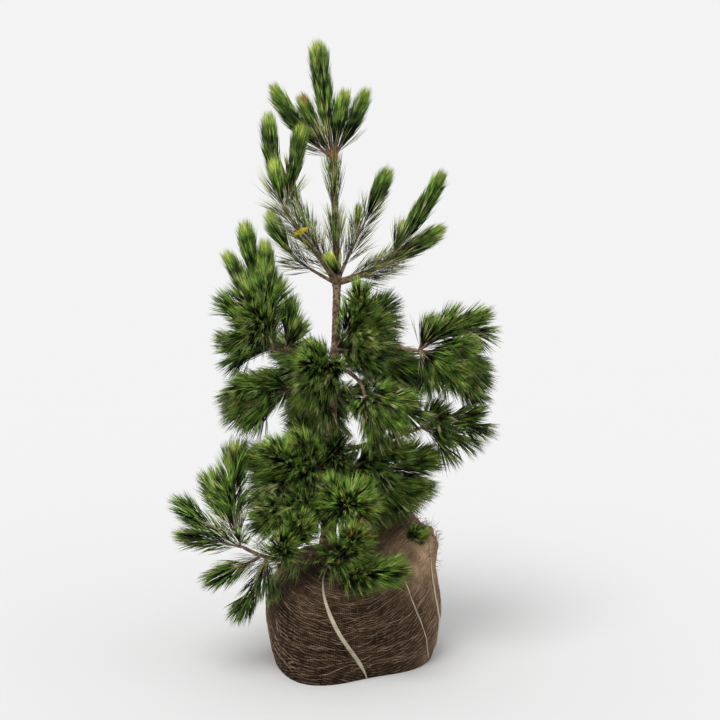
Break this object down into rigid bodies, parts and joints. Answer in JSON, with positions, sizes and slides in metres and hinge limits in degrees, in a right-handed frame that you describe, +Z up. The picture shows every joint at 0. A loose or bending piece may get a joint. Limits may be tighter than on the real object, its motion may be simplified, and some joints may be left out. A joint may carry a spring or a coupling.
{
  "type": "pine sapling with root ball",
  "caption": "Young long-needled pine with upright brush-like shoots in whorls up a slim trunk, standing on its hessian-wrapped root ball.",
  "frame": {"origin": "middle of the flat underside of the root ball", "axes": "+Z up along the trunk, -Y towards the front, +X towards the right as seen from the front"},
  "size_m": [0.7423, 0.6086, 1.4206],
  "materials": {
    "bark": "rough young bark",
    "needles": "satin green needles",
    "hessian": "coarse woven jute over soil",
    "strap": "woven tape"
  },
  "bodies": {
    "root": {"trunk": "bark", "root_ball": "hessian", "strap_front": "strap", "strap_side": "strap", "bough_upper_left_front": "bark", "bough_upper_left_back": "bark", "bough_upper_right_front": "bark", "bough_upper_right_back": "bark", "bough_middle_left": "bark", "bough_middle_left_low": "bark", "bough_middle_right": "bark", "bough_middle_front": "bark", "bough_lower_right": "bark", "bough_low_left": "bark", "bough_low_front": "bark", "bough_rear": "bark", "needles_leader": "needles", "needles_top_far_left": "needles", "needles_top_left": "needles", "needles_top_front": "needles", "needles_top_right": "needles", "needles_upper_left_tall": "needles", "needles_upper_left_inner": "needles", "needles_upper_left_outer": "needles", "needles_upper_front": "needles", "needles_upper_right_back": "needles", "needles_upper_right_tall": "needles", "needles_upper_right_low": "needles", "needles_upper_rear": "needles", "needles_left_burst": "needles", "needles_left_crest": "needles", "needles_left_inner": "needles", "needles_left_middle": "needles", "needles_left_lower": "needles", "needles_centre_front": "needles", "needles_right_back": "needles", "needles_right_crest": "needles", "needles_right_far_upper": "needles", "needles_right_far_middle": "needles", "needles_right_low_tip": "needles", "needles_right_front": "needles", "needles_low_left_bright": "needles", "needles_low_centre": "needles", "needles_far_left_upright": "needles", "needles_far_left_tip": "needles", "needles_far_left_low": "needles", "needles_low_left_inner": "needles", "needles_front_left": "needles", "needles_ball_left_upper": "needles", "needles_ball_left_lower": "needles", "needles_front_centre": "needles", "needles_front_right": "needles", "needles_low_right_side": "needles", "needles_low_right_upper": "needles", "needles_low_right_front": "needles", "needles_rear_right": "needles", "needles_rear_left": "needles", "needles_rear_middle": "needles", "needles_rear_low_right": "needles", "needles_rear_low_left": "needles"}
  },
  "joints": []
}
